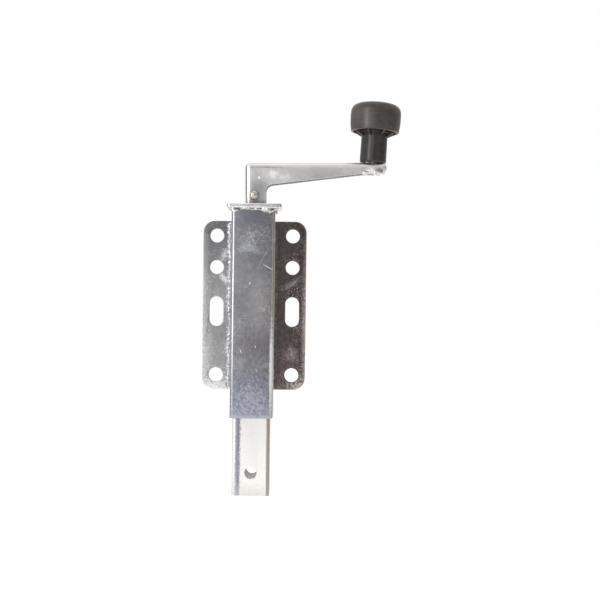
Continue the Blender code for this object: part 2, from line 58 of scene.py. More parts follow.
rivet_low, rivet_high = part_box("crank_rivet")
stop_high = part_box("stop_washer")[1]
collar_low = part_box("thrust_collar")[0]
spindle_low, spindle_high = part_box("spindle")

AXIS = Vector(((tube_low.x + tube_high.x) / 2, (tube_low.y + tube_high.y) / 2, 0.0))
WALL = 2.0 * MM
TUBE_CORNER = 3.0 * MM
LEG_CORNER = 3.5 * MM
LEG_HOLE = 11.0 * MM
LEG_HOLE_UP = 21 * MM               # above the leg's lower end
CRANK_RADIUS = 110.0 * MM
RIVET_Z = (rivet_low.z + rivet_high.z) / 2
CRANK_TILT = radians(0.85)
KNOB_LEAN = radians(3.1)
ARM_TOP = 30.0 * MM                 # heights on the crank are counted from its rivet
ARM_END = CRANK_RADIUS + 12.6 * MM
ARM_KNEE = 99.5 * MM
ARM_DEPTH = (20.6 * MM, 10.4 * MM)  # at the crank's leg, and from the knee to the end
LEG_RIGHT = 10.8 * MM               # right edge of the crank's upright part
RIM_Z = 28.6 * MM                   # heights on the handle are counted from the arm's top
CAP_TOP = 55.5 * MM
CAP_RADIUS = 23.4 * MM
STEM_RADIUS = 12.3 * MM
CAP_POWER = 4.2                     # 2 would be an ellipse; more gives squarer shoulders
ARM_SLOPE = (ARM_DEPTH[0] - ARM_DEPTH[1]) / (ARM_KNEE - LEG_RIGHT)
CRANK_FRAME = Matrix.Translation((AXIS.x, AXIS.y, RIVET_Z)) @ Matrix.Rotation(-CRANK_TILT, 4, "Y")
KNOB_FRAME = (CRANK_FRAME @ Matrix.Translation((CRANK_RADIUS, 0.0, ARM_TOP))
              @ Matrix.Rotation(KNOB_LEAN + CRANK_TILT, 4, "Y"))


# Mesh helpers

def new_object(name, data):
    item = bpy.data.objects.new(name, data)
    bpy.context.scene.collection.objects.link(item)
    return item


def add_piece(name, mesh, material, body, replaced, placing=None):
    """Put a mesh in the scene as a finished piece that rides on a body."""
    if placing is not None:
        mesh.transform(placing)
    mesh.materials.clear()
    mesh.materials.append(material)
    piece = new_object(name, mesh)
    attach(piece, body)
    if replaced:
        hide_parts(*replaced)


def shade(mesh, angle, flat_faces=False):
    """Smooth the mesh up to an angle; flat_faces keeps large faces flat right up to their rounded edges."""
    mesh.shade_smooth()
    mesh.set_sharp_from_angle(angle=radians(angle))
    if flat_faces:
        item = new_object("shaded", mesh)
        weights = item.modifiers.new("normals", "WEIGHTED_NORMAL")
        weights.weight = 100
        weights.keep_sharp = True
        mesh = evaluated_mesh(item)
    return mesh


def grid_mesh(name, rows, closed_rows=False, closed_columns=False, caps=False):
    """A mesh through rows of points; rows and columns may close on themselves."""
    mesh = bpy.data.meshes.new(name)
    bm = bmesh.new()
    grid = [[bm.verts.new(point) for point in row] for row in rows]
    row_count, column_count = len(grid), len(grid[0])
    for i in range(row_count if closed_rows else row_count - 1):
        for j in range(column_count if closed_columns else column_count - 1):
            below, beside = (i + 1) % row_count, (j + 1) % column_count
            bm.faces.new((grid[i][j], grid[i][beside], grid[below][beside], grid[below][j]))
    if caps:
        bm.faces.new(list(reversed(grid[0])))
        bm.faces.new(grid[-1])
    bmesh.ops.recalc_face_normals(bm, faces=bm.faces)
    bm.to_mesh(mesh)
    bm.free()
    return mesh


def merge_points(mesh, distance, outward=True):
    """Join points closer than a distance; outward turns the faces to the outside."""
    bm = bmesh.new()
    bm.from_mesh(mesh)
    bmesh.ops.remove_doubles(bm, verts=bm.verts, dist=distance)
    if outward:
        bmesh.ops.recalc_face_normals(bm, faces=bm.faces)
    bm.to_mesh(mesh)
    bm.free()
    return mesh


def arc(centre, radius, start, end, steps):
    """Points (across, up) of an arc from start to end, in degrees."""
    turns = [radians(start + (end - start) * step / steps) for step in range(steps + 1)]
    return [(centre[0] + radius * cos(turn), centre[1] + radius * sin(turn)) for turn in turns]


def circle(centre, radius, sides):
    """Closed outline of a round hole."""
    return arc(centre, radius, 0, 360 - 360 / sides, sides - 1)


def rounded_rectangle(width, height, radius, steps):
    """Closed outline of a rectangle with rounded corners, anticlockwise."""
    points = []
    for turn, side_x, side_y in ((0, 1, 1), (90, -1, 1), (180, -1, -1), (270, 1, -1)):
        centre = (side_x * (width / 2 - radius), side_y * (height / 2 - radius))
        points += arc(centre, radius, turn, turn + 90, steps)
    return points


def lathe(name, profile, steps, closed=False):
    """Revolve a (radius, height) profile about Z; closed profiles make a ring."""
    rows = []
    for radius, height in profile:
        radius = max(radius, 1e-7)
        turns = [2 * pi * step / steps for step in range(steps)]
        rows.append([Vector((radius * cos(turn), radius * sin(turn), height)) for turn in turns])
    return merge_points(grid_mesh(name, rows, closed_rows=closed, closed_columns=True), 1e-6)


def flat_piece(name, outlines, thickness, edge):
    """A flat plate in its own XY plane with rounded edges, with holes inside the first outline."""
    curve = bpy.data.curves.new(name, "CURVE")
    curve.dimensions = "2D"
    curve.fill_mode = "BOTH"
    curve.extrude = thickness / 2 - edge
    curve.bevel_depth = edge
    curve.bevel_resolution = 2
    curve.offset = -edge
    for outline in outlines:
        spline = curve.splines.new("POLY")
        spline.points.add(len(outline) - 1)
        spline.use_cyclic_u = True
        for point, (across, up) in zip(spline.points, outline):
            point.co = (across, up, 0.0, 1.0)
    return merge_points(evaluated_mesh(new_object(name + "_sketch", curve)), 1e-6, outward=False)


def evaluated_mesh(item):
    """The object's mesh with its modifiers applied; the object itself is removed."""
    bpy.context.view_layer.update()
    graph = bpy.context.evaluated_depsgraph_get()
    mesh = bpy.data.meshes.new_from_object(item.evaluated_get(graph))
    bpy.data.objects.remove(item, do_unlink=True)
    return mesh


def carve(mesh, cutters, joined=()):
    """Join meshes to a mesh, and cut others out of it."""
    item = new_object("blank", mesh)
    tools = []
    for operation, group in (("UNION", joined), ("DIFFERENCE", cutters)):
        for tool_mesh in group:
            tool = new_object("tool", tool_mesh)
            modifier = item.modifiers.new("shape", "BOOLEAN")
            modifier.operation = operation
            modifier.object = tool
            tools.append(tool)
    result = evaluated_mesh(item)
    for tool in tools:
        bpy.data.objects.remove(tool, do_unlink=True)
    return result


def hole_cutter(diameter, length, centre, chamfer, chamfer_at):
    """A round cutting tool along Y, wider beyond chamfer_at from its middle."""
    radius, half = diameter / 2, length / 2
    wide, narrow_at = radius + chamfer, chamfer_at - chamfer
    profile = [(0.0, -half), (wide, -half), (wide, -chamfer_at), (radius, -narrow_at),
               (radius, narrow_at), (wide, chamfer_at), (wide, half), (0.0, half)]
    mesh = lathe("cutter", profile, 64)
    mesh.transform(Matrix.Translation(centre) @ Matrix.Rotation(pi / 2, 4, "X"))
    return mesh


# Tubes and plates

def square_tube(name, low, high, corner, ring_step):
    """A square tube along Z as one closed sheet, with softly rounded cut ends."""
    edge, least_corner, corner_steps = 0.45 * MM, 1 * MM, 10
    side = high.x - low.x
    centre = (low + high) / 2
    bottom, top = low.z, high.z
    rings = max(2, round((top - bottom) / ring_step))
    outer = [(0.0, bottom + edge + (top - bottom - 2 * edge) * ring / rings) for ring in range(rings + 1)]
    top_edge = [(edge - edge * cos(turn), top - edge + edge * sin(turn))
                for turn in (pi / 6, pi / 3, pi / 2)]
    section = outer + top_edge
    section += [(WALL - depth, height) for depth, height in reversed(section)]
    bottom_edge = [(depth, bottom + top - height) for depth, height in top_edge]
    section += [(WALL - depth, height) for depth, height in bottom_edge[:-1]]
    section += list(reversed(bottom_edge))
    rows = []
    for depth, height in section:
        across, radius = side - 2 * depth, corner - min(depth, corner - least_corner)
        outline = rounded_rectangle(across, across, radius, corner_steps)
        rows.append([Vector((centre.x + x, centre.y + y, height)) for x, y in outline])
    return grid_mesh(name, rows, closed_rows=True, closed_columns=True)


def make_outer_tube():
    mesh = square_tube("housing_tube", tube_low, tube_high, TUBE_CORNER, 4 * MM)
    add_piece("housing_tube", shade(mesh, 50, True), metal("zinc_tube"), "housing", ["outer_tube"])


def make_leg():
    """The inner tube, with a hole right through its front and back walls."""
    mesh = square_tube("leg_tube", leg_low, leg_high, LEG_CORNER, 20 * MM)
    hole_centre = Vector((AXIS.x, AXIS.y, leg_low.z + LEG_HOLE_UP))
    half, beyond, chamfer = (leg_high.y - leg_low.y) / 2, 5 * MM, 0.15 * MM
    hole = hole_cutter(LEG_HOLE, 2 * half + 2 * beyond, hole_centre, chamfer, half - chamfer)
    mesh = carve(mesh, [hole])
    add_piece("leg_tube", shade(mesh, 35, True), metal("zinc_leg"), "leg", ["inner_tube"])


def make_mounting_plate():
    """The plate, with three round holes and a slot on each side."""
    width, height = plate_high.x - plate_low.x, plate_high.z - plate_low.z
    thickness, corner, edge = plate_high.y - plate_low.y, 11 * MM, 0.5 * MM
    column_x, hole_heights, slot_z = 36 * MM, (66 * MM, 36 * MM, -66 * MM), -6 * MM
    radius, slot_half = 6.5 * MM, 7.5 * MM
    hole = circle((0.0, 0.0), radius, 48)
    slot = [(x, y + slot_half) for x, y in arc((0, 0), radius, 0, 180, 24)]
    slot += [(x, y - slot_half) for x, y in arc((0, 0), radius, 180, 360, 24)]
    outlines = [rounded_rectangle(width, height, corner, 16)]
    for x in (-column_x, column_x):
        for z in hole_heights:
            outlines.append([(x + across, z + up) for across, up in hole])
        outlines.append([(x + across, slot_z + up) for across, up in slot])
    mesh = flat_piece("back_plate", outlines, thickness, edge)
    middle = Vector((0.0, (plate_low.y + plate_high.y) / 2, 0.0))
    mesh.transform(Matrix.Translation(middle) @ Matrix.Rotation(pi / 2, 4, "X"))
    add_piece("back_plate", shade(mesh, 50, True), metal("zinc_plate"), "housing", ["mounting_plate"])


def make_top_plate():
    """The plate that closes the tube, with a hole for the spindle's bush."""
    width, depth = cap_high.x - cap_low.x, cap_high.y - cap_low.y
    bush_hole, corner, edge = 9.6 * MM, 3 * MM, 0.9 * MM
    middle = (cap_low + cap_high) / 2
    outlines = [rounded_rectangle(width, depth, corner, 10),
                circle((AXIS.x - middle.x, AXIS.y - middle.y), bush_hole, 60)]
    mesh = flat_piece("cap_plate", outlines, cap_high.z - cap_low.z, edge)
    mesh.transform(Matrix.Translation(middle))
    add_piece("cap_plate", shade(mesh, 50, True), metal("zinc_cap"), "housing", ["top_plate"])


# Weld beads

def make_side_weld(name, side, size, material):
    """Overlapping ripples of a fillet bead that runs down the corner of tube and plate."""
    pitch, run_out, inset = 2.1 * MM, 3 * MM, 0.25 * MM
    start, end = plate_low.z + 1 * MM, plate_high.z - 1 * MM
    rings, columns = 620, 12
    root = Vector((AXIS.x + side * (tube_high.x - inset), plate_low.y + inset, 0.0))
    rows = []
    for index in range(rings + 1):
        z = start + (end - start) * index / rings
        near_end = max(0.0, 1 - (z - start) / run_out, 1 - (end - z) / run_out)
        taper = math.sqrt(max(0.0, 1 - near_end ** 2))
        wander = noise.noise(Vector((z * 90, side * 3.1, 0.4)))
        wander += 0.5 * noise.noise(Vector((z * 400, side, 1.7)))
        leg = size * (1 + 0.24 * wander) * (0.35 + 0.65 * taper)
        row = []
        for column in range(columns + 1):
            share = column / columns
            turn = share * pi / 2
            crown = sin(share * pi)
            phase = (z + side * 0.3 * MM) / pitch + 0.55 * crown + 0.90 * wander
            ripple = (phase % 1.0) ** 1.6 * 0.11 * size * crown
            spatter = 0.14 * size * noise.noise(Vector((z * 1100, share * 4, side)))
            reach = leg * (0.70 + 0.30 * abs(cos(2 * turn)) ** 1.4) + (ripple + spatter) * taper
            row.append(root + Vector((side * reach * cos(turn), -reach * sin(turn), z)))
        row.append(root + Vector((0.0, 0.0, z)))
        rows.append(row)
    mesh = grid_mesh(name, rows, closed_columns=True, caps=True)
    cad_node = "side_weld_right" if side > 0 else "side_weld_left"
    add_piece(name, shade(mesh, 60), material, "housing", [cad_node])


def make_cap_weld():
    """An uneven bead round the tube under the top plate, with voids above its ridge and runs below."""
    half = (tube_high.x - tube_low.x) / 2
    path = resample(rounded_rectangle(2 * half, 2 * half, TUBE_CORNER, 8), 640)
    length, pitch, columns = 8 * half, 2.6 * MM, 14
    roof = cap_low.z + 0.25 * MM
    rows = []
    for index, (x, y) in enumerate(path):
        before, after = Vector(path[index - 1]), Vector(path[(index + 1) % len(path)])
        along = (after - before).normalized()
        outward = Vector((along.y, -along.x, 0.0))
        spot = Vector((x, y, 0.0)) * 120
        drop = bead_drop(x, y, half) + 0.7 * MM * noise.noise(spot)
        void = bead_void(x, y, half)
        reach = 2.7 * MM + 0.8 * MM * noise.noise(spot + Vector((7, 3, 1)))
        row = []
        for column in range(columns + 1):
            share = column / columns
            turn = share * pi / 2
            crown = sin(share * pi)
            phase = index / len(path) * length / pitch + 0.6 * crown + 0.8 * noise.noise(spot * 0.6)
            pimples = noise.noise(spot * 4 + Vector((0, 0, share * 3)))
            lump = (phase % 1.0) ** 1.5 * 0.7 * MM + 0.5 * MM * pimples
            swell = 1.0 - 0.16 * crown + lump * crown / (3 * MM)
            under = 1.0 - void * max(0.0, 1.0 - share / 0.55) ** 0.7
            row.append(Vector((AXIS.x + x, AXIS.y + y, roof))
                       + outward * (reach * swell * under * cos(turn) - 0.2 * MM)
                       + Vector((0.0, 0.0, -drop * swell * sin(turn))))
        row.append(Vector((AXIS.x + x, AXIS.y + y, roof)) - outward * 0.3 * MM)
        rows.append(row)
    mesh = grid_mesh("cap_bead", rows, closed_rows=True, closed_columns=True)
    add_piece("cap_bead", shade(mesh, 60), metal("cap_bead_metal"), "housing", ["cap_weld"])


def hills(x, shapes):
    """Sum of bell curves, each (place, width, height), with place and width in mm."""
    return sum(height * math.exp(-((x / MM - place) / width) ** 2) for place, width, height in shapes)


def bead_drop(x, y, half):
    """How far the bead under the top plate hangs down the tube: uneven on the front face."""
    sags = ((-18.0, 3.0, 1.8), (-5.0, 5.0, -0.7), (11.0, 3.5, 1.6), (15.5, 2.6, 2.0))
    return (2.4 + hills(x, sags)) * MM if y < -0.9 * half else 2.9 * MM


def bead_void(x, y, half):
    """Share of the bead missing just under the plate, between its ridge and the plate."""
    gaps = ((-14.5, 4.0, 0.95), (-1.0, 3.0, 0.55), (6.0, 3.0, 0.6), (17.0, 2.5, 0.95))
    return min(0.92, hills(x, gaps)) if y < -0.9 * half else 0.35


def resample(outline, count):
    """Points evenly spaced along a closed outline."""
    corners = [Vector(point) for point in outline]
    corners.append(corners[0])
    lengths = [0.0]
    for a, b in zip(corners, corners[1:]):
        lengths.append(lengths[-1] + (b - a).length)
    points = []
    at = 0
    for index in range(count):
        goal = lengths[-1] * index / count
        while lengths[at + 1] < goal:
            at += 1
        share = (goal - lengths[at]) / (lengths[at + 1] - lengths[at])
        points.append(tuple(corners[at].lerp(corners[at + 1], share)))
    return points


# Crank

def lower_edge(x):
    """Height of the arm's lower edge on the crank."""
    return ARM_TOP - max(ARM_DEPTH[1], ARM_DEPTH[0] - ARM_SLOPE * (x - LEG_RIGHT))


def crank_paths():
    """Matched points along the channel's web and along the flanges' free edge, side view."""
    left, low = -8.2 * MM, -7.4 * MM
    corner, nose, fillet, tuck = 4.4 * MM, 4.4 * MM, 6.8 * MM, 2.0 * MM
    free_end, free_run = ARM_END - 9 * MM, 3.5 * MM
    tilt = math.degrees(math.atan(ARM_SLOPE))
    fillet_x = LEG_RIGHT + fillet
    fillet_z = lower_edge(fillet_x) - fillet / cos(radians(tilt))
    web, free = [], []
    upright_steps, arm_steps = 14, 50
    for step in range(upright_steps):
        share = step / upright_steps
        web.append((left, low + (ARM_TOP - corner - low) * share))
        free.append((LEG_RIGHT, low + (fillet_z - low) * share))
    web += arc((left + corner, ARM_TOP - corner), corner, 180, 90, 16)
    free += arc((fillet_x, fillet_z), fillet, 180, 90 + tilt, 16)
    free_start = free[-1][0]
    for step in range(1, arm_steps):
        share = step / arm_steps
        web.append((left + corner + (ARM_END - nose - left - corner) * share, ARM_TOP))
        x = free_start + (free_end - free_start) * share
        free.append((x, lower_edge(x)))
    tip = arc((ARM_END - nose, ARM_TOP - nose), nose, 90, 0, 8)
    for share in (0.33, 0.67, 1.0):
        tip.append((ARM_END - tuck * share ** 2, ARM_TOP - nose - (ARM_DEPTH[1] - nose) * share))
    for index, point in enumerate(tip):
        web.append(point)
        x = free_end + free_run * index / (len(tip) - 1)
        free.append((x, lower_edge(x)))
    return web, free


def channel_profile(here, edge, inward, half, bend):
    """Points (place in side view, depth) across the channel: flange, bend, web, bend and flange."""
    bend_steps, flange_steps, web_steps = 6, 8, 4
    bend_end = here + inward * bend
    turns = [pi / 2 * step / bend_steps for step in range(bend_steps + 1)]
    side = [(here + inward * bend * (1 - cos(turn)), half - bend * (1 - sin(turn)))
            for turn in turns]
    side += [(bend_end.lerp(edge, step / flange_steps), half) for step in range(1, flange_steps + 1)]
    middle = [(here, (half - bend) * (1 - 2 * step / web_steps)) for step in range(1, web_steps)]
    return list(reversed(side)) + middle + [(point, -y) for point, y in side]


def make_crank():
    """A pressed channel: one bent sheet with thickness, drawn in over the ends."""
    web, free = crank_paths()
    half, bend, sheet_thickness = (arm_high.y - arm_low.y) / 2, 4.2 * MM, 2.0 * MM
    rows = []
    for index, (web_point, free_point) in enumerate(zip(web, free)):
        before = Vector(web[max(index - 1, 0)])
        after = Vector(web[min(index + 1, len(web) - 1)])
        along = (after - before).normalized()
        inward = Vector((along.y, -along.x))
        row = []
        for point, y in channel_profile(Vector(web_point), Vector(free_point), inward, half, bend):
            dent = 0.18 * MM * noise.noise(Vector((point.x, y, point.y)) * 55)
            row.append(Vector((point.x, -y + math.copysign(dent, y), point.y)))
        rows.append(row)
    sheet = outward_normals(grid_mesh("crank_shell", rows), Vector((1 * MM, 0.0, 0.0)))
    item = new_object("crank_sheet", sheet)
    thick = item.modifiers.new("sheet", "SOLIDIFY")
    thick.thickness = sheet_thickness
    thick.offset = -1.0
    rounding = item.modifiers.new("edges", "BEVEL")
    rounding.width = 0.4 * MM
    rounding.segments = 2
    rounding.limit_method = "ANGLE"
    rounding.angle_limit = radians(60)
    mesh = evaluated_mesh(item)
    add_piece("crank_shell", shade(mesh, 45, True), metal("zinc_crank"), "crank", ["crank_arm"],
              CRANK_FRAME)


def outward_normals(mesh, inside):
    """Turn an open sheet's faces away from a point that lies inside it."""
    votes = sum(math.copysign(1, (polygon.center - inside).dot(polygon.normal)) for polygon in mesh.polygons)
    if votes < 0:
        mesh.flip_normals()
    return mesh


def make_rivet():
    """A hammered rivet: two domed heads with flats and dents from the hammer."""
    grip = (arm_high.y - arm_low.y) / 2
    head, dome = 4.3 * MM, (rivet_high.y - rivet_low.y) / 2 - grip - 0.05 * MM
    shank, sunk, steps = 2.5 * MM, 0.3 * MM, 14
    profile = [(0.0, grip + dome)]
    for step in range(1, steps + 1):
        turn = pi / 2 * step / steps
        profile.append((head * sin(turn), grip + dome * (0.12 + 0.88 * cos(turn))))
    profile += [(head * 0.97, grip - sunk), (shank, grip - sunk)]
    profile += [(radius, -height) for radius, height in reversed(profile)]
    mesh = lathe("rivet", profile, 56)
    for vertex in mesh.vertices:
        spot = vertex.co * 420
        vertex.co += vertex.co.normalized() * 0.22 * MM * noise.noise(spot * 0.8)
        vertex.co.z += 0.08 * MM * noise.noise(spot * 2.2) * min(1.0, vertex.co.xy.length / head)
    placing = Matrix.Translation((AXIS.x, AXIS.y, RIVET_Z)) @ Matrix.Rotation(pi / 2, 4, "X")
    add_piece("rivet", shade(mesh, 70), metal("rivet_metal"), "crank", ["crank_rivet"],
              placing)


def make_stud():
    """The handle's stud: a foot in the channel, a shank through the knob and a groove for the clip."""
    foot, shank, groove = 6.0 * MM, 4.0 * MM, 3.0 * MM
    top, groove_high, groove_low = 43.6 * MM, 42.2 * MM, 40.4 * MM
    foot_top, foot_low, foot_round, edge = -2.5 * MM, -9.6 * MM, 1.4 * MM, 0.8 * MM
    profile = [(0.0, top), (shank - edge, top), (shank, top - edge), (shank, groove_high),
               (groove, groove_high), (groove, groove_low), (shank, groove_low), (shank, foot_top),
               (foot - edge / 2, foot_top), (foot, foot_top - edge / 2), (foot, foot_low + foot_round)]
    profile += arc((foot - foot_round, foot_low + foot_round), foot_round, -15, -90, 5) + [(0.0, foot_low)]
    add_piece("handle_stud", shade(lathe("handle_stud", profile, 64), 35), metal("turned_steel"), "crank",
              ["knob_stud"], KNOB_FRAME)
    lumps = ((102.8, -1, 4.4, 1.4), (113.2, -1, 5.0, 2.1), (103.0, 1, 4.0, 1.2), (113.0, 1, 4.4, 1.5))
    for number, (x, side, long, tall) in enumerate(lumps):
        make_weld_lump("stud_weld_{}".format(number + 1), x * MM, side, long * MM, tall * MM)


def make_weld_lump(name, x, side, long, tall):
    """A short bead along a flange's lower edge that holds the stud's foot."""
    half, thick = (arm_high.y - arm_low.y) / 2, 1.5 * MM
    centre = Vector((x, side * (half - 0.9 * MM), lower_edge(x) + 0.8 * MM))
    polar_steps, round_steps = 20, 28
    rows = []
    for step in range(polar_steps + 1):
        polar = pi * step / polar_steps
        row = []
        for round_step in range(round_steps):
            turn = 2 * pi * round_step / round_steps
            direction = Vector((cos(polar), sin(polar) * cos(turn), sin(polar) * sin(turn)))
            swell = 1 + 0.22 * noise.noise(direction * 1.8 + Vector((x * 300, side, 0)))
            swell += 0.05 * sin(direction.x * long / MM * 3.0)
            reach = Vector((direction.x * long, direction.y * thick, direction.z * tall))
            row.append(centre + reach * swell)
        rows.append(row)
    mesh = merge_points(grid_mesh(name, rows, closed_columns=True), 1e-5)
    add_piece(name, shade(mesh, 80), metal("stud_bead"), "crank", [], CRANK_FRAME)


# Knob

def make_knob_stem():
    """The handle's glossy sleeve, hollowed for the washer, stud and clip."""
    low, top = 0.1 * MM, 45.8 * MM
    upper, edge, top_edge = 12.05 * MM, 1.6 * MM, 0.5 * MM
    bore, washer, clip = 4.3 * MM, 8.5 * MM, 8.2 * MM
    washer_top, clip_floor = 2.2 * MM, 40 * MM
    outside = [(upper - top_edge, top), (upper, top - top_edge), (upper, 30 * MM),
               (STEM_RADIUS - 0.05 * MM, 8 * MM)]
    outside += arc((STEM_RADIUS - edge, low + edge), edge, 0, -90, 8)
    inside = [(washer, low), (washer, washer_top), (bore, washer_top), (bore, clip_floor),
              (clip, clip_floor), (clip, top)]
    mesh = lathe("handle_stem", outside + inside, 128, closed=True)
    add_piece("handle_stem", shade(mesh, 32), gloss_plastic(), "handle", ["knob_stem"],
              KNOB_FRAME)


def knob_cap_profile():
    """Down the barrel-shaped outside, round the rim, up the inside and down round the hub."""
    waist, wall, lip, fine_edge = 41.0 * MM, 2.4 * MM, 1.0 * MM, 0.5 * MM
    rim, roof, roof_round = CAP_RADIUS - 1.1 * MM, CAP_TOP - 4.0 * MM, 4.0 * MM
    hub_in, hub_out, hub_low, hub_roof, hub_edge = 12.4 * MM, 14.0 * MM, RIM_Z - 1.0 * MM, 46.1 * MM, 0.6 * MM
    dome_steps, side_steps = 24, 10
    points = []
    for step in range(dome_steps + 1):
        turn = pi / 2 * step / dome_steps
        across, up = sin(turn) ** (2 / CAP_POWER), cos(turn) ** (2 / CAP_POWER)
        points.append((CAP_RADIUS * across, waist + (CAP_TOP - waist) * up))
    for step in range(1, side_steps + 1):
        share = step / side_steps
        height = waist + (RIM_Z + lip - waist) * share
        points.append((CAP_RADIUS - (CAP_RADIUS - rim) * share ** 1.8, height))
    points += arc((rim - lip, RIM_Z + lip), lip, -10, -90, 5)
    points += arc((rim - wall + fine_edge, RIM_Z + fine_edge), fine_edge, -90, -180, 4)
    points += [(CAP_RADIUS - wall - 0.4 * MM, waist)]
    points += arc((CAP_RADIUS - wall - 4.6 * MM, roof - roof_round), roof_round, 10, 90, 6)
    points += [(hub_out + hub_edge, roof), (hub_out, roof - hub_edge), (hub_out, hub_low + 0.4 * MM),
               (hub_out - 0.4 * MM, hub_low), (hub_in, hub_low), (hub_in, hub_roof), (0.0, hub_roof)]
    return points


def make_knob_cap():
    """The mushroom grip with eight radial ribs that slope from its rim to the stem."""
    inner, outer, top = STEM_RADIUS, CAP_RADIUS - 2.0 * MM, CAP_TOP - 3.6 * MM
    thickness, edge, clear, count = 1.5 * MM, 0.35 * MM, 0.9 * MM, 8
    outline = [(inner, RIM_Z - 4.3 * MM), (outer, RIM_Z + 0.6 * MM), (outer, RIM_Z + 15 * MM),
               (inner + 3 * MM, top), (inner + clear, top), (inner + clear, RIM_Z - 0.8 * MM),
               (inner, RIM_Z - 1.2 * MM)]
    ribs = []
    for index in range(count):
        rib = flat_piece("rib", [outline], thickness, edge)
        turn = 2 * pi * (index + 0.5) / count
        rib.transform(Matrix.Rotation(turn, 4, "Z") @ Matrix.Rotation(pi / 2, 4, "X"))
        ribs.append(rib)
    mesh = carve(lathe("handle_cap", knob_cap_profile(), 160), [], ribs)
    add_piece("handle_cap", shade(mesh, 38), matt_plastic(), "handle", ["knob_cap"],
              KNOB_FRAME)


# Spindle

def ring_of(radii, height):
    """A level ring of points round the spindle's axis, evenly turned, one to a radius."""
    turns = [2 * pi * step / len(radii) for step in range(len(radii))]
    return [Vector((AXIS.x + radius * cos(turn), AXIS.y + radius * sin(turn), height))
            for radius, turn in zip(radii, turns)]


def thread_radii(height, fade, steps):
    """Radii round the thread at a height; fade is 0 at the thread's ends and 1 where it is full."""
    lead, crest, depth = 4.0 * MM, 8.0 * MM, 2.25 * MM
    crest_share, flank_share = 0.36, 0.28
    radii = []
    for step in range(steps):
        turn = 2 * pi * step / steps
        phase = (height / lead - turn / (2 * pi)) % 1.0
        wave = abs(phase - 0.5) * 2
        groove = min(1.0, max(0.0, (wave - crest_share) / flank_share))
        radii.append(crest - depth * (groove * fade + 0.3 * (1 - fade)))
    return radii


def make_spindle():
    """Right-hand trapezoidal thread between turned journals."""
    thread_low, thread_high = stop_high.z + 0.3 * MM, collar_low.z - 0.3 * MM
    end, neck, journal, edge = 6.0 * MM, 5.7 * MM, 7.5 * MM, 1 * MM
    sides, run_out, row_height = 44, 1.5 * MM, 4.0 * MM / 12
    shoulder = cap_high.z + 0.3 * MM
    below = [(end - edge, spindle_low.z), (end, spindle_low.z + edge), (end, thread_low), (neck, thread_low)]
    above = [(journal, thread_high), (journal, shoulder), (end, shoulder), (end, spindle_high.z - edge),
             (end - edge, spindle_high.z)]
    rows = [ring_of([radius] * sides, height) for radius, height in below]
    count = round((thread_high - thread_low) / row_height)
    for index in range(count + 1):
        height = thread_low + (thread_high - thread_low) * index / count
        fade = min(1.0, (height - thread_low) / run_out, (thread_high - height) / run_out)
        rows.append(ring_of(thread_radii(height, fade, sides), height))
    rows += [ring_of([radius] * sides, height) for radius, height in above]
    mesh = grid_mesh("screw", rows, closed_columns=True, caps=True)
    add_piece("screw", shade(mesh, 32), metal("turned_steel"), "crank", ["spindle"])


# Material building blocks

def node(tree, kind, inputs=None, **settings):
    """Add a node; inputs hold constants or the sockets that feed them."""
    item = tree.nodes.new("ShaderNode" + kind)
    for key, value in settings.items():
        setattr(item, key, value)
    for key, value in (inputs or {}).items():
        if isinstance(value, bpy.types.NodeSocket):
            tree.links.new(value, item.inputs[key])
        else:
            item.inputs[key].default_value = value
    return item


def new_material(name, metallic, roughness):
    material = bpy.data.materials.new(name)
    material.use_nodes = True
    shader = material.node_tree.nodes["Principled BSDF"]
    shader.inputs["Metallic"].default_value = metallic
    shader.inputs["Roughness"].default_value = roughness
    return material, material.node_tree, shader


def place(tree, scale=(1.0, 1.0, 1.0), turn=(0.0, 0.0, 0.0), shift=(0.0, 0.0, 0.0)):
    """Object coordinates in metres, turned, stretched and shifted."""
    source = node(tree, "TexCoord").outputs["Object"]
    mapping = node(tree, "Mapping", {"Vector": source, "Location": shift, "Rotation": turn, "Scale": scale})
    return mapping.outputs["Vector"]


def grain(tree, vector, scale, detail, rough=0.5, distortion=0.0):
    inputs = {"Vector": vector, "Scale": scale, "Detail": detail, "Roughness": rough,
              "Distortion": distortion}
    return node(tree, "TexNoise", inputs).outputs["Fac"]


def span(tree, value, low, high, to_low=0.0, to_high=1.0, smooth=False):
    """Stretch a value from low..high to to_low..to_high, clamped."""
    inputs = {"Value": value, "From Min": low, "From Max": high, "To Min": to_low, "To Max": to_high}
    kind = "SMOOTHSTEP" if smooth else "LINEAR"
    return node(tree, "MapRange", inputs, interpolation_type=kind).outputs["Result"]


def blend_colour(tree, factor, first, second):
    """Mix two colours, each of them a socket or three numbers."""
    mix = node(tree, "Mix", data_type="RGBA")
    tree.links.new(factor, mix.inputs[0])
    for index, value in ((6, first), (7, second)):
        if isinstance(value, bpy.types.NodeSocket):
            tree.links.new(value, mix.inputs[index])
        else:
            mix.inputs[index].default_value = (*value, 1.0)
    return mix.outputs[2]


def ramp(tree, factor, dark, light):
    """A colour that goes from dark at 0 to light at 1."""
    item = node(tree, "ValToRGB", {"Fac": factor})
    for element, colour in zip(item.color_ramp.elements, (dark, light)):
        element.color = (*colour, 1.0)
    return item.outputs["Color"]


def combine(tree, operation, first, second):
    return node(tree, "Math", {0: first, 1: second}, operation=operation).outputs["Value"]


def times(tree, first, second):
    return combine(tree, "MULTIPLY", first, second)


def bump(tree, shader, *layers):
    """Stack (height, distance) layers of bump onto the shader."""
    normal = None
    for height, distance in layers:
        inputs = {"Height": height, "Distance": distance, "Strength": 1.0}
        if normal is not None:
            inputs["Normal"] = normal
        normal = node(tree, "Bump", inputs).outputs["Normal"]
    tree.links.new(normal, shader.inputs["Normal"])


